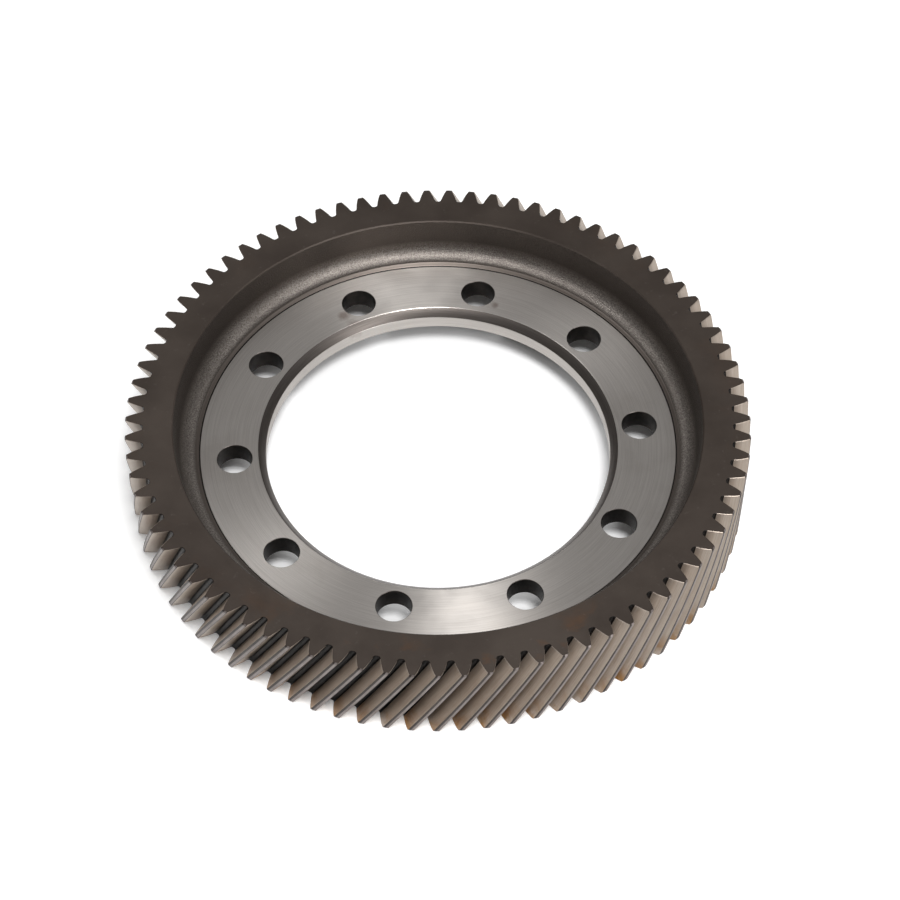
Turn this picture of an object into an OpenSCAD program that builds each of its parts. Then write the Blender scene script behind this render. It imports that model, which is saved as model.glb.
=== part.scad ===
// Final drive gear: a helical ring gear made in one piece.
// A toothed rim stands round a thin bolted flange, bored through to seat on a hub.
// Millimetres, +Z up along the gear axis.
// The origin is on the axis, in the plane of the lower tooth ends, on which it rests.
// A bolt hole lies on +X. The bright seat face of the flange looks up.

/* [Teeth] */
// Number of teeth round the rim
tooth_count = 81; // [72:1:90]
// Normal module: size of the teeth across their helix
normal_module = 2.35; // [2.3:0.01:2.4]
// Helix angle at the pitch circle, right-hand
helix_angle = 27.4; // [22:0.1:32]
// Normal pressure angle of the flanks
pressure_angle = 17.5; // [16:0.25:20]
// How far the tips stand outside the pitch circle
addendum = 3.5; // [3.2:0.05:3.7]
// How far the roots lie inside the pitch circle
dedendum = 2.8; // [2.5:0.05:3]
// Tooth thickness along the pitch circle, in the plane of rotation
tooth_thickness = 4.6; // [4.4:0.02:4.8]
// Radius of the fillet at each side of a tooth root
root_fillet = 0.85; // [0.6:0.05:0.95]
// Width of the teeth along the axis
face_width = 33.8; // [30:0.1:38]
// Bevel turned on both ends of the tooth tips
tip_bevel = 0.5; // [0.3:0.05:0.8]

/* [Rim] */
// Wall left between the tooth roots and the inside of the rim, at the upper face
rim_wall = 10.6; // [9:0.1:12]
// How much less the inside radius of the rim is at its lower face
lower_rim_step = 1.5; // [0:0.1:2.5]
// Slope of the rim inner walls away from upright
wall_draft = 9; // [6:0.5:11]
// Radius of the forged fillet between upper wall and flange
upper_fillet = 5.2; // [4.5:0.1:5.6]
// Radius of the fillet between lower wall and flange
lower_fillet = 4; // [3:0.1:5]
// Bevel on the inner edges of the two rim faces
rim_bevel = 0.4; // [0.2:0.05:0.7]

/* [Flange] */
// Height of the seat face over the lower tooth ends
seat_height = 17.75; // [16.5:0.05:19]
// Thickness of the flange
flange_thick = 8.2; // [7:0.1:9.5]
// How far inside the rim opening the ground seat face ends
seat_margin = 8.35; // [7.7:0.05:10]
// Depth of the fine groove round the seat face
groove_depth = 0.3; // [0.2:0.05:0.5]
// Width of that groove
groove_width = 0.5; // [0.3:0.05:0.8]
// Width of the turned cone outside the groove
cone_width = 1.6; // [1.2:0.1:2]
// Rise of the turned cone over its width
cone_rise = 0.9; // [0.6:0.05:1.2]

/* [Bore and bolts] */
// Bore that locates the gear on its hub
bore_d = 123.9; // [118:0.1:128]
// Bevel at the top of the bore, for leading the hub in
bore_bevel = 2.75; // [1.5:0.05:3.5]
// Bevel at the underside of the bore
bore_lower_bevel = 0.6; // [0.4:0.05:1]
// Number of bolt holes
bolt_count = 10; // [8:1:12]
// Distance from the wall of the bore to the circle through the bolt holes
bolt_inset = 11.15; // [9.5:0.05:13]
// Diameter of each bolt hole
bolt_hole_d = 12.5; // [10.5:0.1:13.5]
// Bevel of the bolt holes on the underside
bolt_bevel = 0.5; // [0.4:0.05:1]

/* [Hidden] */
// The circles in the plane of rotation, worked out from the normal plane
pitch_r = tooth_count * normal_module / (2 * cos(helix_angle));
plane_pressure = atan(tan(pressure_angle) / cos(helix_angle));
base_r = pitch_r * cos(plane_pressure);
tip_r = pitch_r + addendum;
root_r = pitch_r - dedendum;
pitch_step = 360 / tooth_count;
twist_deg = face_width * tan(helix_angle) / pitch_r * 180 / PI;
// Where a tooth stands at the upper face, against the bolt hole on +X
top_phase = 1.744;
// The rim stands on the tooth roots, the seat face ends inside the rim, and the bolts ring the bore
rim_r = root_r - rim_wall;
seat_r = rim_r - seat_margin;
bore_r = bore_d / 2;
bolt_circle_r = bore_r + bolt_inset;
// Flank segments, fillet segments and helix steps used for the faceted flanks
flank_parts = 3;
fillet_parts = 2;
helix_steps = 3;
// The outline runs past the blank by this much all round
over = 0.6;
$fn = 180;

function involute(r) = let(a = acos(min(1, base_r / r))) tan(a) * 180 / PI - a;
base_half = tooth_thickness / pitch_r * 90 / PI + involute(pitch_r);
function half_angle(r) = base_half - involute(r);
// The fillet circle touches the root circle and the flank, whose offset is an involute too
fillet_r = root_r + root_fillet;
fillet_half = base_half + root_fillet / base_r * 180 / PI - involute(fillet_r);
fillet_reach = sqrt(fillet_r * fillet_r - base_r * base_r) - root_fillet;
flank_r = sqrt(base_r * base_r + fillet_reach * fillet_reach);
// Angle at the fillet centre between the line to the gear centre and the line along the flank
touch_turn = acos(base_r / fillet_r);
outer_r = tip_r + over;
function polar(r, a) = [r * cos(a), r * sin(a)];
// Points of one fillet, from the root circle up to the flank, at the side of sign s
function fillet_point(c, s, k) =
    let(turn = (90 - touch_turn) * k / fillet_parts,
        centre = polar(fillet_r, c + s * fillet_half),
        way = c + s * fillet_half + 180 + s * turn)
    centre + root_fillet * [cos(way), sin(way)];
function flank_point(c, s, k) =
    let(r = flank_r + (outer_r - flank_r) * k / flank_parts)
    polar(r, c + s * half_angle(r));
function tooth_outline(c) = concat(
    [for (k = [0 : fillet_parts - 1]) fillet_point(c, -1, k)],
    [for (k = [0 : flank_parts]) flank_point(c, -1, k)],
    [for (k = [0 : flank_parts]) flank_point(c, 1, flank_parts - k)],
    [for (k = [0 : fillet_parts - 1]) fillet_point(c, 1, fillet_parts - 1 - k)]
);

// Outline of all teeth, twisted right-handed along the axis, open in the middle
module tooth_ring() {
    steps_over = face_width / helix_steps * 0.1;
    full_height = face_width + 2 * steps_over;
    full_twist = twist_deg * full_height / face_width;
    translate([0, 0, -steps_over])
        linear_extrude(height = full_height, twist = -full_twist, slices = helix_steps, convexity = 10)
            rotate(top_phase - twist_deg - (full_twist - twist_deg) / 2)
                polygon([for (i = [0 : tooth_count - 1]) each tooth_outline(i * pitch_step)]);
}

// Turned section of the whole gear: bore, flange, rim walls and tip cylinder
module section() {
    under = seat_height - flange_thick;
    cone_out = seat_r + cone_width;
    cone_top = seat_height + cone_rise;
    upper_run = (face_width - cone_top) * tan(wall_draft);
    lower_run = under * tan(wall_draft);
    lower_r = rim_r - lower_rim_step;
    difference() {
        translate([bore_r, 0])
            square([tip_r - bore_r, face_width]);
        // Dish above the flange
        upper_dish(rim_r, upper_run, cone_top);
        // Dish below the flange
        lower_dish(lower_r, lower_run, under);
        // Seat face, with its fine groove and the turned cone outside it
        polygon([
            [bore_r - 1, seat_height],
            [seat_r - groove_width / 2, seat_height],
            [seat_r, seat_height - groove_depth],
            [seat_r + groove_width / 2, seat_height],
            [cone_out, cone_top],
            [cone_out, face_width + 1],
            [bore_r - 1, face_width + 1]
        ]);
        // Bore bevels
        polygon([
            [bore_r - 1, seat_height - bore_bevel - 1],
            [bore_r + bore_bevel + 1, seat_height + 1],
            [bore_r - 1, seat_height + 1]
        ]);
        polygon([
            [bore_r - 1, under + bore_lower_bevel + 1],
            [bore_r + bore_lower_bevel + 1, under - 1],
            [bore_r - 1, under - 1]
        ]);
        // Bevels on the tip cylinder and on the inner edges of the rim faces
        corner_bevel(tip_r, face_width, tip_bevel);
        corner_bevel(tip_r, 0, tip_bevel);
        corner_bevel(rim_r, face_width, rim_bevel);
        corner_bevel(lower_r, 0, rim_bevel);
    }
}

// A square standing on its corner takes the same bevel off both faces at an edge
module corner_bevel(r, z, size) {
    translate([r, z])
        rotate(45)
            square(size * sqrt(2), center = true);
}

// Space above the flange: a drafted wall that turns into the floor by a fillet
module upper_dish(mouth_r, run, floor_z) {
    r = upper_fillet;
    foot_r = mouth_r - run;
    centre_r = foot_r - r * (1 - sin(wall_draft)) / cos(wall_draft);
    difference() {
        polygon([
            [0, floor_z],
            [foot_r, floor_z],
            [mouth_r, face_width],
            [mouth_r + tan(wall_draft), face_width + 1],
            [0, face_width + 1]
        ]);
        fillet_corner(centre_r, floor_z, r, foot_r, 1);
    }
}

module lower_dish(mouth_r, run, ceiling_z) {
    r = lower_fillet;
    foot_r = mouth_r - run;
    centre_r = foot_r - r * (1 - sin(wall_draft)) / cos(wall_draft);
    difference() {
        polygon([
            [0, ceiling_z],
            [foot_r, ceiling_z],
            [mouth_r, 0],
            [mouth_r + tan(wall_draft), -1],
            [0, -1]
        ]);
        fillet_corner(centre_r, ceiling_z, r, foot_r, -1);
    }
}

// Metal left in the corner by a fillet that touches the floor and the drafted wall
module fillet_corner(centre_r, floor_z, r, foot_r, up) {
    difference() {
        polygon([
            [centre_r, floor_z],
            [foot_r, floor_z],
            [centre_r + r * cos(wall_draft), floor_z + up * (r - r * sin(wall_draft))]
        ]);
        translate([centre_r, floor_z + up * r])
            circle(r);
    }
}

module final_drive_gear() {
    under = seat_height - flange_thick;
    color([0.43, 0.4, 0.38])
        difference() {
            intersection() {
                rotate_extrude()
                    section();
                tooth_ring();
            }
            for (i = [0 : bolt_count - 1])
                rotate(i * 360 / bolt_count)
                    translate([bolt_circle_r, 0, under]) {
                        translate([0, 0, -1])
                            cylinder(h = flange_thick + 2, d = bolt_hole_d);
                        translate([0, 0, -1])
                            cylinder(h = bolt_bevel + 1, r1 = bolt_hole_d / 2 + bolt_bevel + 1,
                                r2 = bolt_hole_d / 2);
                    }
        }
}

final_drive_gear();
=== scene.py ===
import math

import bpy
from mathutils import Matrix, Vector


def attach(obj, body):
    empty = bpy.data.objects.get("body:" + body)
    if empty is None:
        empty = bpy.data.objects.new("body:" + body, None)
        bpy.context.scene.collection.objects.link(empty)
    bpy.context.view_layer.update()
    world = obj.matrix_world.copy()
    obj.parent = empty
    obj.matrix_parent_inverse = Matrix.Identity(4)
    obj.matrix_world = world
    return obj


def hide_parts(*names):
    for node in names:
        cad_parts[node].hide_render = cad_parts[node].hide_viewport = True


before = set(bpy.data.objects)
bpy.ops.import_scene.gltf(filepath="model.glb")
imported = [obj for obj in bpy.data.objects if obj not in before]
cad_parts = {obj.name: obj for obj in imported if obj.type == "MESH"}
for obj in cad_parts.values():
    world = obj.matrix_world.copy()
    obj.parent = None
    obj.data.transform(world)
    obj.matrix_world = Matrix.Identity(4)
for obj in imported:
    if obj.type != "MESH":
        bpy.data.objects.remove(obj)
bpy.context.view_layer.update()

# The teeth: 81 right-hand helical teeth of case-hardened steel, hobbed and then shaved.
# The outline of one tooth is drawn in the plane of rotation, in millimetres.
# It runs from the root on one side over the tip to the root on the other side.
tooth_count = 81
normal_module = 2.35
helix = math.radians(27.4)
pressure_angle = math.radians(17.5)
addendum = 3.5
dedendum = 2.8
tooth_thickness = 4.6
face_width = 33.8
root_fillet = 0.85
pitch_r = tooth_count * normal_module / (2 * math.cos(helix))
plane_pressure = math.atan(math.tan(pressure_angle) / math.cos(helix))
base_r = pitch_r * math.cos(plane_pressure)
tip_r = pitch_r + addendum
root_r = pitch_r - dedendum
tooth_step = 2 * math.pi / tooth_count
lead_turn = face_width * math.tan(helix) / pitch_r
top_phase = math.radians(1.744)


def involute(r):
    a = math.acos(min(1.0, base_r / r))
    return math.tan(a) - a


base_half = tooth_thickness / pitch_r / 2 + involute(pitch_r)
fillet_r = root_r + root_fillet
fillet_half = base_half + root_fillet / base_r - involute(fillet_r)
fillet_turn = math.pi / 2 - math.acos(base_r / fillet_r)
flank_r = math.hypot(base_r, math.sqrt(fillet_r**2 - base_r**2) - root_fillet)
tip_break = 0.18
fillet_parts = 4
flank_parts = 4
half_outline = []
for k in range(fillet_parts):
    way = math.pi + fillet_half + fillet_turn * k / fillet_parts
    x = fillet_r * math.cos(fillet_half) + root_fillet * math.cos(way)
    y = fillet_r * math.sin(fillet_half) + root_fillet * math.sin(way)
    half_outline.append((math.hypot(x, y), math.atan2(y, x)))
for k in range(flank_parts + 1):
    r = flank_r + (tip_r - tip_break - flank_r) * k / flank_parts
    half_outline.append((r, base_half - involute(r)))
# Wear has rounded the tip more towards the flank that looks up than towards the other one.
wide_edge = 0.85
narrow_edge = 0.2
tip_side = half_outline[-1][1]
tooth_outline = [(r, -a) for r, a in half_outline]
tooth_outline += [(tip_r, wide_edge / tip_r - tip_side), (tip_r, tip_side - narrow_edge / tip_r)]
tooth_outline += [(r, a) for r, a in reversed(half_outline)]
tooth_points = len(tooth_outline)
outline = []
for i in range(tooth_count):
    for r, a in tooth_outline:
        outline.append((r, a + i * tooth_step))
outline_count = len(outline)

# Each outline point has a direction square to the profile, which the end bevels follow.
outline_xy = [Vector((r * math.cos(a), r * math.sin(a))) for r, a in outline]
inward = []
for i in range(outline_count):
    before = outline_xy[i] - outline_xy[i - 1]
    after = outline_xy[(i + 1) % outline_count] - outline_xy[i]
    along = before.normalized() + after.normalized()
    inward.append(Vector((-along.y, along.x)).normalized())

vertices = []
faces = []
face_slots = []
DARK, FLANK, GROUND, FORGED, BEVEL, WALL, TIP, EDGE, SKIN_AND_SHADE, CONE = range(10)


def add_point(x, y, z):
    vertices.append((x * 0.001, y * 0.001, z * 0.001))
    return len(vertices) - 1


def add_face(corners, slot):
    faces.append(corners)
    face_slots.append(slot)


# The end bevels are small breaks that a brush leaves on the profile edges.
# The turned bevel at the tip corners is wider, and clips the radius there.
end_break = 0.14
tip_bevel = 0.5
layers = [
    (0.0, end_break, tip_r - tip_bevel),
    (end_break, 0.0, tip_r - tip_bevel + end_break),
    (tip_bevel, 0.0, tip_r),
]
slices = 10
for k in range(1, slices):
    layers.append((tip_bevel + (face_width - 2 * tip_bevel) * k / slices, 0.0, tip_r))
layers += [(face_width - d, inset, limit) for d, inset, limit in reversed(layers[:3])]
tooth_rows = []
for depth, inset, limit in layers:
    z = face_width - depth
    turn = top_phase - lead_turn * depth / face_width
    row = []
    for point, way in zip(outline_xy, inward):
        moved = point + way * inset
        r = min(moved.length, limit)
        a = math.atan2(moved.y, moved.x) + turn
        row.append(add_point(r * math.cos(a), r * math.sin(a), z))
    tooth_rows.append(row)
# Which steps of a tooth's outline are tip and root. All the others are flank.
tip_slots = {8: EDGE, 9: TIP, 10: EDGE}
# The root steps take the black material, which is partly painted shade deep in the tooth spaces.
root_parts = (0, 1, 2, 16, 17, 18, 19)
for upper, lower in zip(tooth_rows, tooth_rows[1:]):
    for i in range(outline_count):
        j = (i + 1) % outline_count
        part = i % tooth_points
        slot = SKIN_AND_SHADE if part in root_parts else tip_slots.get(part, FLANK)
        add_face((upper[i], lower[i], lower[j], upper[j]), slot)

# The body: rim, dish, flange and bore, one steel forging, turned where it seats.
# Its section is a list of rows from the upper tooth ends, inwards and round below.
# Rings of rows at plain radii only keep the flat faces small.
columns = 540
body_r = 103.4
draft = math.radians(9)
seat_z = 17.75
flange_thick = 8.2
under_z = seat_z - flange_thick
rim_r = 93.8
lower_rim_r = rim_r - 1.5
upper_fillet = 5.2
lower_fillet = 4.0
bore_r = 61.95
bore_bevel = 2.8
lower_bore_bevel = 0.6
groove_r = 85.47
cone_out = 87.05
cone_top = seat_z + 0.9


def wall_and_fillet(edge_r, edge_z, floor_z, r, parts):
    """Rows down a drafted wall and round the fillet at its foot."""
    up = 1 if edge_z > floor_z else -1
    foot_r = edge_r - abs(edge_z - floor_z) * math.tan(draft)
    centre_r = foot_r - r * (1 - math.sin(draft)) / math.cos(draft)
    rows = []
    start = (centre_r + r * math.cos(draft), floor_z + up * r * (1 - math.sin(draft)))
    for k in range(1, 5):
        t = k / 5
        rows.append((edge_r + (start[0] - edge_r) * t, edge_z + (start[1] - edge_z) * t))
    for k in range(parts + 1):
        turn = -draft - (math.pi / 2 - draft) * k / parts
        rows.append((centre_r + r * math.cos(turn), floor_z + up * (r + r * math.sin(turn))))
    return rows


section = []


def turn_rows(points, slot):
    """Adds rows to the section. The slot is the finish of the face that ends at the row."""
    for r, z in points:
        section.append((r, z, slot))


rim_break = 0.4
turn_rows([(body_r, face_width), (100.5, face_width), (97.5, face_width)], DARK)
turn_rows([(rim_r + rim_break, face_width)], DARK)
turn_rows([(rim_r - 0.06, face_width - rim_break)], DARK)
turn_rows(wall_and_fillet(rim_r, face_width, cone_top, upper_fillet, 12), FORGED)
# The black band at the cone's outer edge is a painted shadow, and the black groove at the edge of the
# seat is painted shade.
turn_rows([(cone_out + 0.15, cone_top - 0.05), (cone_out, cone_top)], SKIN_AND_SHADE)
turn_rows([(86.3, seat_z + 0.48), (85.7, seat_z + 0.14)], CONE)
turn_rows([(85.55, seat_z + 0.02), (groove_r, seat_z - 0.25), (85.38, seat_z - 0.12)], SKIN_AND_SHADE)
turn_rows([(85.22, seat_z), (83.5, seat_z), (81.8, seat_z)], GROUND)
hole_in = 65.9
hole_out = 80.3
zone = 12
upper_zone = len(section)
turn_rows([(hole_out + (hole_in - hole_out) * k / zone, seat_z) for k in range(zone + 1)], GROUND)
turn_rows([(64.78, seat_z), (64.6, seat_z - 0.1)], GROUND)
turn_rows([(63.3, seat_z - 1.4), (62.03, seat_z - 2.68)], BEVEL)
turn_rows([(bore_r, seat_z - bore_bevel), (bore_r, under_z + 2.4)], GROUND)
turn_rows([(bore_r, under_z + lower_bore_bevel)], GROUND)
turn_rows([(bore_r + lower_bore_bevel, under_z)], BEVEL)
lower_zone = len(section)
turn_rows([(hole_in + (hole_out - hole_in) * k / zone, under_z) for k in range(zone + 1)], DARK)
turn_rows([(82.5, under_z)], DARK)
turn_rows(list(reversed(wall_and_fillet(lower_rim_r, 0.0, under_z, lower_fillet, 8))), FORGED)
turn_rows([(lower_rim_r + 0.06, rim_break), (lower_rim_r + rim_break, 0.0)], DARK)
turn_rows([(97.5, 0.0), (100.5, 0.0), (body_r, 0.0)], DARK)

body_rows = []
for r, z, slot in section:
    row = []
    for i in range(columns):
        a = 2 * math.pi * i / columns
        row.append(add_point(r * math.cos(a), r * math.sin(a), z))
    body_rows.append(row)
hole_span = 9
sector = columns // 10


def in_hole_zone(k, i):
    """True where the grid cell from row k and column i belongs to a bolt hole."""
    near = (i + hole_span) % sector < 2 * hole_span
    upper = upper_zone <= k < upper_zone + zone
    lower = lower_zone <= k < lower_zone + zone
    return near and (upper or lower)


for k in range(len(section) - 1):
    slot = section[k + 1][2]
    for i in range(columns):
        if not in_hole_zone(k, i):
            j = (i + 1) % columns
            corners = (body_rows[k][i], body_rows[k][j], body_rows[k + 1][j], body_rows[k + 1][i])
            add_face(corners, slot)


# The end faces of the teeth join the rim faces without an edge.
# Each column of the rim face meets three steps of the outline of the teeth.
steps = outline_count // columns
most_shift = 90
tried_column = 27


def join_teeth(body_row, tooth_row, upwards):
    def angle(index):
        x, y, z = vertices[index]
        return math.atan2(y, x)

    def off(shift):
        total = 0.0
        for i in range(0, columns, tried_column):
            gap = angle(tooth_row[(steps * i + shift) % outline_count]) - angle(body_row[i])
            total += (gap + math.pi) % (2 * math.pi) - math.pi
        return abs(total)

    # The teeth are twisted against the body, so the shift that fits best is found by trying.
    shift = min(range(-most_shift, most_shift + 1), key=off)
    for i in range(columns):
        j = (i + 1) % columns
        fan = [tooth_row[(steps * i + shift + k) % outline_count] for k in range(steps + 1)]
        pieces = [
            (body_row[i], fan[0], fan[1]),
            (body_row[i], fan[1], fan[2], body_row[j]),
            (body_row[j], fan[2], fan[3]),
        ]
        for piece in pieces:
            add_face(piece if upwards else tuple(reversed(piece)), DARK)


join_teeth(body_rows[0], tooth_rows[0], True)
join_teeth(body_rows[-1], tooth_rows[-1], False)

# The ten bolt holes: drilled through the flange for the bolts of the case, with broken edges.
# Each sits in its own patch of the flange grid, and a wall joins the two sides.
bolt_circle_r = 73.1
hole_r = 6.25
upper_break = 0.16
lower_break = 0.5
hole_points = 2 * (2 * hole_span + zone)


def patch_edge(zone_start, middle):
    """Grid points round a hole's patch, from one corner and round."""
    left = middle - hole_span
    right = middle + hole_span
    edge = [body_rows[zone_start][i % columns] for i in range(left, right)]
    edge += [body_rows[zone_start + k][right % columns] for k in range(zone)]
    edge += [body_rows[zone_start + zone][i % columns] for i in range(right, left, -1)]
    edge += [body_rows[zone_start + k][left % columns] for k in range(zone, 0, -1)]
    return edge


for hole in range(10):
    turn = 2 * math.pi * hole / 10
    centre = (bolt_circle_r * math.cos(turn), bolt_circle_r * math.sin(turn))
    outer = patch_edge(upper_zone, hole * sector)
    lower = patch_edge(lower_zone, hole * sector)
    # Both edges have their points at the same places, only in another order.
    by_place = {}
    for index in lower:
        x, y, z = vertices[index]
        by_place[(round(x, 6), round(y, 6))] = index
    outer_below = []
    for index in outer:
        x, y, z = vertices[index]
        outer_below.append(by_place[(round(x, 6), round(y, 6))])
    ways = []
    for index in outer:
        x, y, z = vertices[index]
        ways.append(math.atan2(y * 1000 - centre[1], x * 1000 - centre[0]))
    rings = [outer]
    # A level has its share of the way from the patch's edge to the hole, the radius there,
    # its height, and the finish of the band that ends at it.
    levels = [
        (0.45, None, seat_z, GROUND),
        (0.8, None, seat_z, GROUND),
        (1.0, hole_r + upper_break, seat_z, GROUND),
        (1.0, hole_r, seat_z - upper_break, BEVEL),
        (1.0, hole_r, seat_z - 3.0, WALL),
        (1.0, hole_r, under_z + 3.0, WALL),
        (1.0, hole_r, under_z + lower_break, WALL),
        (1.0, hole_r + lower_break, under_z, BEVEL),
        (0.6, None, under_z, DARK),
    ]
    slots = []
    for share, radius, z, slot in levels:
        ring = []
        for index, way in zip(outer, ways):
            ox, oy = vertices[index][0] * 1000, vertices[index][1] * 1000
            reach = radius or hole_r + (upper_break if z > under_z else lower_break)
            hx = centre[0] + reach * math.cos(way)
            hy = centre[1] + reach * math.sin(way)
            ring.append(add_point(ox + (hx - ox) * share, oy + (hy - oy) * share, z))
        rings.append(ring)
        slots.append(slot)
    rings.append(outer_below)
    slots.append(DARK)
    for first, second, slot in zip(rings, rings[1:], slots):
        for i in range(hole_points):
            j = (i + 1) % hole_points
            add_face((first[i], first[j], second[j], second[i]), slot)

mesh = bpy.data.meshes.new("gear_body")
mesh.from_pydata(vertices, [], faces)
mesh.polygons.foreach_set("material_index", face_slots)
mesh.polygons.foreach_set("use_smooth", [True] * len(faces))
mesh.update()
mesh.set_sharp_from_angle(angle=math.radians(24))
gear = bpy.data.objects.new("gear_body", mesh)
bpy.context.scene.collection.objects.link(gear)


# The finishes are nodes on the gear's own coordinates, as radius, turn and height.
def new_finish(name):
    """An empty material and what its nodes are built from."""
    material = bpy.data.materials.new(name)
    material.use_nodes = True
    tree = material.node_tree
    tree.nodes.clear()
    shader = tree.nodes.new("ShaderNodeBsdfPrincipled")
    output = tree.nodes.new("ShaderNodeOutputMaterial")
    tree.links.new(shader.outputs["BSDF"], output.inputs["Surface"])
    return material, tree, shader


def node(tree, kind, inputs=None, **settings):
    made = tree.nodes.new(kind)
    for key, value in settings.items():
        setattr(made, key, value)
    for key, value in (inputs or {}).items():
        if isinstance(value, bpy.types.NodeSocket):
            tree.links.new(value, made.inputs[key])
        else:
            made.inputs[key].default_value = value
    return made


def maths(tree, operation, first, second=0.0, third=0.0):
    made = node(tree, "ShaderNodeMath", {0: first, 1: second, 2: third}, operation=operation)
    return made.outputs[0]


def span(tree, value, low, high, out_low=0.0, out_high=1.0):
    """Maps a value between low and high onto another range, without going past it."""
    inputs = {"Value": value, "From Min": low, "From Max": high}
    inputs.update({"To Min": out_low, "To Max": out_high})
    made = node(tree, "ShaderNodeMapRange", inputs, clamp=True)
    return made.outputs[0]


def blend(tree, share, first, second):
    """First colour where share is 0, second colour where it is 1."""
    made = node(tree, "ShaderNodeMix", data_type="RGBA")
    for socket, value in ((0, share), (6, first), (7, second)):
        if isinstance(value, bpy.types.NodeSocket):
            tree.links.new(value, made.inputs[socket])
        else:
            made.inputs[socket].default_value = value
    return made.outputs[2]


def gear_place(tree):
    """Radius, turn and height on the gear, in millimetres and radians."""
    place = node(tree, "ShaderNodeTexCoord").outputs["Object"]
    axes = node(tree, "ShaderNodeSeparateXYZ", {0: place}).outputs
    x, y, z = axes[0], axes[1], axes[2]
    square = maths(tree, "ADD", maths(tree, "MULTIPLY", x, x), maths(tree, "MULTIPLY", y, y))
    radius = maths(tree, "MULTIPLY", maths(tree, "SQRT", square), 1000.0)
    turn = maths(tree, "ARCTAN2", y, x)
    height = maths(tree, "MULTIPLY", z, 1000.0)
    return place, radius, turn, height


def noise(tree, vector, scale, detail=4.0, roughness=0.55, distortion=0.0):
    inputs = {"Vector": vector, "Scale": scale, "Detail": detail}
    inputs.update({"Roughness": roughness, "Distortion": distortion})
    return node(tree, "ShaderNodeTexNoise", inputs).outputs["Fac"]


def vector_of(tree, x, y, z):
    return node(tree, "ShaderNodeCombineXYZ", {0: x, 1: y, 2: z}).outputs[0]


def raise_by(tree, shader, height, distance, strength=1.0):
    inputs = {"Height": height, "Distance": distance, "Strength": strength}
    bump = node(tree, "ShaderNodeBump", inputs)
    tree.links.new(bump.outputs[0], shader.inputs["Normal"])


# Turned faces of the rim: dark heat-treatment skin over fine turning marks.
# Rust browns them in patches, most of all by the teeth on the side towards the camera.
dark, tree, shader = new_finish("turned_dark")
place, radius, turn, height = gear_place(tree)
cloud = noise(tree, place, 28.0, 5.0, 0.6)
speck = noise(tree, place, 420.0, 3.0, 0.6)
colour = blend(tree, span(tree, cloud, 0.35, 0.65), (0.048, 0.036, 0.029, 1), (0.07, 0.0545, 0.0445, 1))
colour = blend(tree, span(tree, speck, 0.64, 0.78, 0.0, 0.35), colour, (0.13, 0.11, 0.1, 1))
front = span(tree, maths(tree, "COSINE", maths(tree, "ADD", turn, 1.45)), 0.55, 0.95)
patch = span(tree, noise(tree, place, 46.0, 5.0, 0.65, 0.4), 0.56, 0.7)
near_teeth = span(tree, radius, 97.0, 104.0, 0.25, 1.0)
rust = maths(tree, "MULTIPLY", patch, maths(tree, "ADD", maths(tree, "MULTIPLY", front, 0.75), 0.1))
rust = maths(tree, "MULTIPLY", rust, near_teeth)
colour = blend(tree, rust, colour, (0.12, 0.055, 0.022, 1))
tree.links.new(colour, shader.inputs["Base Color"])
shader.inputs["Metallic"].default_value = 0.55
tree.links.new(span(tree, cloud, 0.3, 0.7, 0.42, 0.56), shader.inputs["Roughness"])
lines = noise(tree, vector_of(tree, maths(tree, "MULTIPLY", radius, 4.0), turn, height), 1.0, 2.0)
raise_by(tree, shader, maths(tree, "ADD", lines, speck), 0.00003, 0.6)
mesh.materials.append(dark)

# Tooth flanks: shaved steel, with a fine lay along each tooth.
# Painted shade darkens them towards the roots, and the lower ends carry light brown rust.
flank, tree, shader = new_finish("shaved_flank")
place, radius, turn, height = gear_place(tree)
lead = math.tan(helix) / pitch_r
across = maths(tree, "SUBTRACT", turn, maths(tree, "MULTIPLY", height, lead))
# The lay is stretched a hundred times and more along the tooth.
round_mm = maths(tree, "MULTIPLY", across, 110.0)
lay_place = vector_of(tree, round_mm, radius, maths(tree, "MULTIPLY", height, 0.03))
lay = noise(tree, lay_place, 3.2, 4.0, 0.7)
cloud = noise(tree, place, 60.0, 4.0, 0.6)
colour = blend(tree, span(tree, lay, 0.3, 0.7), (0.36, 0.3, 0.25, 1), (0.5, 0.435, 0.375, 1))
colour = blend(tree, span(tree, cloud, 0.45, 0.75, 0.0, 0.4), colour, (0.3, 0.225, 0.17, 1))
# Painted shade: the flank is darker towards the root, deep in the tooth space.
painted_root_shade = span(tree, radius, root_r + 0.8, root_r + 3.6, 0.5, 0.0)
colour = blend(tree, painted_root_shade, colour, (0.1, 0.075, 0.06, 1))
low_end = span(tree, height, 1.0, 8.5, 1.0, 0.0)
patch = span(tree, noise(tree, place, 75.0, 4.0, 0.65, 0.5), 0.4, 0.56)
front = span(tree, maths(tree, "COSINE", maths(tree, "ADD", turn, 1.2)), 0.1, 0.6)
rust = maths(tree, "MULTIPLY", maths(tree, "MULTIPLY", low_end, patch), front)
colour = blend(tree, rust, colour, (0.29, 0.155, 0.055, 1))
# At its foot the flank is painted black with a sharp edge: a painted shadow of the neighbouring tooth.
foot = span(tree, radius, root_r + 0.85, root_r + 0.95, 1.0, 0.0)
colour = blend(tree, foot, colour, (0.008, 0.0065, 0.0055, 1))
tree.links.new(colour, shader.inputs["Base Color"])
shader.inputs["Metallic"].default_value = 0.75
tree.links.new(span(tree, lay, 0.3, 0.7, 0.36, 0.5), shader.inputs["Roughness"])
raise_by(tree, shader, lay, 0.00002, 0.5)
mesh.materials.append(flank)

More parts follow.
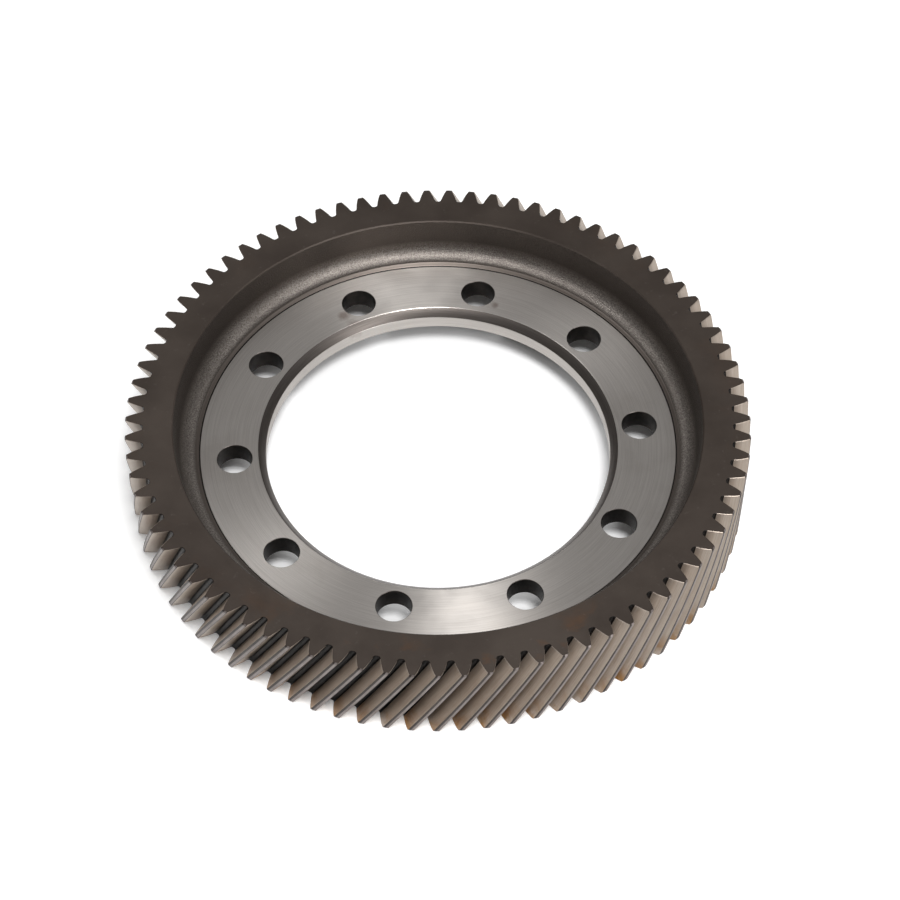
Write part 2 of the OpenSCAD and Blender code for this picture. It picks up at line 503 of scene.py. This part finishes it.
# Ground seat face and bore wall: bright steel with a circular lay.
# Handling has left three small stains, two beside bolt holes and one at the edge of the bore.
ground, tree, shader = new_finish("ground_steel")
place, radius, turn, height = gear_place(tree)
lay_place = vector_of(tree, radius, maths(tree, "MULTIPLY", turn, 0.6), height)
lay = noise(tree, lay_place, 5.5, 5.0, 0.75)
cloud = noise(tree, place, 34.0, 5.0, 0.6, 0.3)
colour = blend(tree, span(tree, lay, 0.3, 0.7), (0.52, 0.483, 0.45, 1), (0.73, 0.69, 0.652, 1))
colour = blend(tree, span(tree, cloud, 0.56, 0.78, 0.0, 0.35), colour, (0.42, 0.37, 0.33, 1))
stains = ((-29.0, 63.8, 3.2), (28.3, 63.2, 2.2), (-24.5, 56.9, 6.0))
for stain_x, stain_y, stain_r in stains:
    spot = vector_of(tree, stain_x * 0.001, stain_y * 0.001, seat_z * 0.001)
    distance = node(tree, "ShaderNodeVectorMath", {0: place, 1: spot}, operation="DISTANCE")
    away = maths(tree, "MULTIPLY", distance.outputs["Value"], 1000.0 / stain_r)
    ragged = maths(tree, "ADD", away, maths(tree, "MULTIPLY", noise(tree, place, 420.0), 1.1))
    colour = blend(tree, span(tree, ragged, 0.8, 1.4, 0.55, 0.0), colour, (0.2, 0.125, 0.1, 1))
# Painted shade darkens the bore wall against the seat face.
painted_bore_shade = span(tree, radius, 62.1, 62.4, 0.36, 0.0)
colour = blend(tree, painted_bore_shade, colour, (0.12, 0.112, 0.105, 1))
tree.links.new(colour, shader.inputs["Base Color"])
shader.inputs["Metallic"].default_value = 1.0
tree.links.new(span(tree, cloud, 0.3, 0.75, 0.3, 0.42), shader.inputs["Roughness"])
shader.inputs["Anisotropic"].default_value = 0.85
shader.inputs["Anisotropic Rotation"].default_value = 0.25
tangent = node(tree, "ShaderNodeTangent", direction_type="RADIAL", axis="Z")
tree.links.new(tangent.outputs[0], shader.inputs["Tangent"])
raise_by(tree, shader, lay, 0.00001, 0.35)
mesh.materials.append(ground)

# Forged walls and fillets of the dish: grainy skin, blasted clean of scale.
# The wall above the fillet is painted darker than the fillet, as painted shade, and a painted shadow
# darkens the fillet's foot.
forged, tree, shader = new_finish("forged_skin")
place, radius, turn, height = gear_place(tree)
grain = noise(tree, place, 2300.0, 2.0, 0.6)
cloud = noise(tree, place, 40.0, 4.0, 0.6)
colour = blend(tree, span(tree, grain, 0.35, 0.7), (0.11, 0.096, 0.086, 1), (0.3, 0.27, 0.245, 1))
colour = blend(tree, span(tree, cloud, 0.45, 0.7, 0.0, 0.3), colour, (0.1, 0.084, 0.073, 1))
# A painted shadow darkens the foot of the fillets.
colour = blend(tree, span(tree, radius, 87.0, 88.2, 0.7, 0.0), colour, (0.05, 0.041, 0.035, 1))
# Painted shade darkens the wall above the fillet.
painted_wall_shade = span(tree, height, 21.3, 25.0)
colour = blend(tree, maths(tree, "MULTIPLY", painted_wall_shade, 0.95), colour, (0.06, 0.049, 0.042, 1))
tree.links.new(colour, shader.inputs["Base Color"])
shader.inputs["Metallic"].default_value = 0.85
shader.inputs["Roughness"].default_value = 0.42
raise_by(tree, shader, grain, 0.00018, 0.85)
mesh.materials.append(forged)

# Bevels of the bore and the bolt holes: smooth turned steel.
# They are darker than the ground faces.
bevel, tree, shader = new_finish("turned_bevel")
place, radius, turn, height = gear_place(tree)
lay = noise(tree, vector_of(tree, radius, turn, height), 6.0, 3.0, 0.6)
colour = blend(tree, span(tree, lay, 0.3, 0.7), (0.1, 0.087, 0.079, 1), (0.15, 0.133, 0.123, 1))
tree.links.new(colour, shader.inputs["Base Color"])
shader.inputs["Metallic"].default_value = 1.0
shader.inputs["Roughness"].default_value = 0.4
mesh.materials.append(bevel)

# Walls of the bolt holes: drilled before hardening.
# The heat treatment left them dark.
wall, tree, shader = new_finish("drilled_wall")
place = gear_place(tree)[0]
cloud = noise(tree, place, 300.0, 3.0, 0.6)
colour = blend(tree, span(tree, cloud, 0.35, 0.7), (0.008, 0.0065, 0.0055, 1), (0.024, 0.019, 0.016, 1))
tree.links.new(colour, shader.inputs["Base Color"])
shader.inputs["Metallic"].default_value = 0.8
shader.inputs["Roughness"].default_value = 0.48
mesh.materials.append(wall)

# Tip lands: turned before the teeth were cut.
# Handling has rubbed them grey.
tips, tree, shader = new_finish("tip_land")
place = gear_place(tree)[0]
cloud = noise(tree, place, 120.0, 4.0, 0.6)
colour = blend(tree, span(tree, cloud, 0.35, 0.7), (0.15, 0.125, 0.115, 1), (0.24, 0.21, 0.2, 1))
tree.links.new(colour, shader.inputs["Base Color"])
shader.inputs["Metallic"].default_value = 0.6
shader.inputs["Roughness"].default_value = 0.42
mesh.materials.append(tips)

# Rounded tip edges and the band beside them, where the tips were broken.
# They keep the black skin of the heat treatment.
edges, tree, shader = new_finish("tip_edge")
place = gear_place(tree)[0]
cloud = noise(tree, place, 90.0, 4.0, 0.6)
colour = blend(tree, span(tree, cloud, 0.35, 0.7), (0.022, 0.016, 0.013, 1), (0.05, 0.039, 0.034, 1))
tree.links.new(colour, shader.inputs["Base Color"])
shader.inputs["Metallic"].default_value = 0.4
shader.inputs["Roughness"].default_value = 0.5
mesh.materials.append(edges)

# Tooth roots and turned grooves: no tool touched them after hardening.
# Their black is partly that skin and partly painted shade deep in the tooth roots, and painted shadow
# in the grooves.
roots, tree, shader = new_finish("black_root_and_painted_shade")
place = gear_place(tree)[0]
cloud = noise(tree, place, 150.0, 3.0, 0.6)
colour = blend(tree, span(tree, cloud, 0.35, 0.7), (0.004, 0.0035, 0.003, 1), (0.014, 0.011, 0.0095, 1))
tree.links.new(colour, shader.inputs["Base Color"])
shader.inputs["Metallic"].default_value = 0.8
shader.inputs["Roughness"].default_value = 0.5
mesh.materials.append(roots)

# Turned cone outside the seat face: brownish steel.
# The tool left coarse turning lines round it.
cone, tree, shader = new_finish("turned_cone")
place, radius, turn, height = gear_place(tree)
lines = noise(tree, vector_of(tree, maths(tree, "MULTIPLY", radius, 3.0), turn, 0.0), 1.0, 2.0)
colour = blend(tree, span(tree, lines, 0.35, 0.65), (0.065, 0.053, 0.045, 1), (0.13, 0.11, 0.097, 1))
tree.links.new(colour, shader.inputs["Base Color"])
shader.inputs["Metallic"].default_value = 0.75
shader.inputs["Roughness"].default_value = 0.4
mesh.materials.append(cone)

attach(gear, "root")
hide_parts("final_drive_gear")

# The floor: a plain white table top under the gear.
# It isn't part of the gear.
floor_mesh = bpy.data.meshes.new("floor")
reach = 3.0
floor_mesh.from_pydata(
    [(-reach, -reach, 0), (reach, -reach, 0), (reach, reach, 0), (-reach, reach, 0)],
    [],
    [(0, 1, 2, 3)],
)
floor = bpy.data.objects.new("floor", floor_mesh)
floor.location.z = -0.0001
bpy.context.scene.collection.objects.link(floor)
table_top, tree, shader = new_finish("table_top")
shader.inputs["Base Color"].default_value = (0.92, 0.92, 0.92, 1)
shader.inputs["Roughness"].default_value = 0.9
shader.inputs["Specular IOR Level"].default_value = 0.0
# Part of its white is its own, so that the soft shadows on it stay pale.
path = node(tree, "ShaderNodeLightPath").outputs
seen = maths(tree, "MAXIMUM", path["Is Camera Ray"], path["Is Glossy Ray"])
seen = maths(tree, "MAXIMUM", seen, path["Is Transmission Ray"])
shader.inputs["Emission Color"].default_value = (1, 1, 1, 1)
radius = gear_place(tree)[1]
# Right under the flange it has almost none, which is a painted shadow, so that the floor seen through
# the holes is dim.
off_ring = maths(tree, "ABSOLUTE", maths(tree, "SUBTRACT", radius, 84.0))
glow_with_painted_shadow = span(tree, off_ring, 14.0, 26.0, 0.02, 0.25)
tree.links.new(maths(tree, "MULTIPLY", seen, glow_with_painted_shadow), shader.inputs["Emission Strength"])
floor_mesh.materials.append(table_top)


# Soft studio lights: a weak one from the left, a strong one overhead and one in front.
# The flat ground face shows the overhead one as two bright fans.
def soft_light(name, azimuth, elevation, distance, size, power):
    data = bpy.data.lights.new(name, "AREA")
    data.shape = "DISK"
    data.size = size
    data.energy = power
    light = bpy.data.objects.new(name, data)
    a = math.radians(azimuth)
    e = math.radians(elevation)
    way = Vector((math.cos(a) * math.cos(e), math.sin(a) * math.cos(e), math.sin(e)))
    light.location = way * distance
    light.rotation_euler = way.to_track_quat("Z", "Y").to_euler()
    bpy.context.scene.collection.objects.link(light)


soft_light("left_light", 150.0, 60.0, 1.6, 0.5, 2.5)
soft_light("top_light", 284.0, 70.0, 1.6, 0.5, 18.0)
soft_light("front_light", -52.0, 34.0, 1.6, 0.6, 8.0)
world = bpy.data.worlds.new("studio")
world.use_nodes = True
# The room is darker near the horizon than overhead.
tree = world.node_tree
toward = node(tree, "ShaderNodeTexCoord").outputs["Generated"]
upward = node(tree, "ShaderNodeSeparateXYZ", {0: toward}).outputs[2]
backdrop = tree.nodes["Background"]
backdrop.inputs["Color"].default_value = (1, 1, 1, 1)
tree.links.new(span(tree, upward, 0.05, 0.8, 0.1, 0.36), backdrop.inputs["Strength"])
bpy.context.scene.world = world
bpy.context.scene.view_settings.view_transform = "Standard"

# The camera stands where the photographer's stood.
# Its turn is given against the bolt hole on +X.
camera_data = bpy.data.cameras.new("camera")
camera_data.lens = 96.0
camera_data.sensor_width = 36.0
camera_data.clip_start = 0.05
camera_data.clip_end = 20.0
camera = bpy.data.objects.new("camera", camera_data)
camera.location = (-0.056785, -0.533996, 0.692974)
camera.rotation_euler = (
    math.radians(38.30053),
    math.radians(-0.193586),
    math.radians(-6.282247),
)
bpy.context.scene.collection.objects.link(camera)
bpy.context.scene.camera = camera
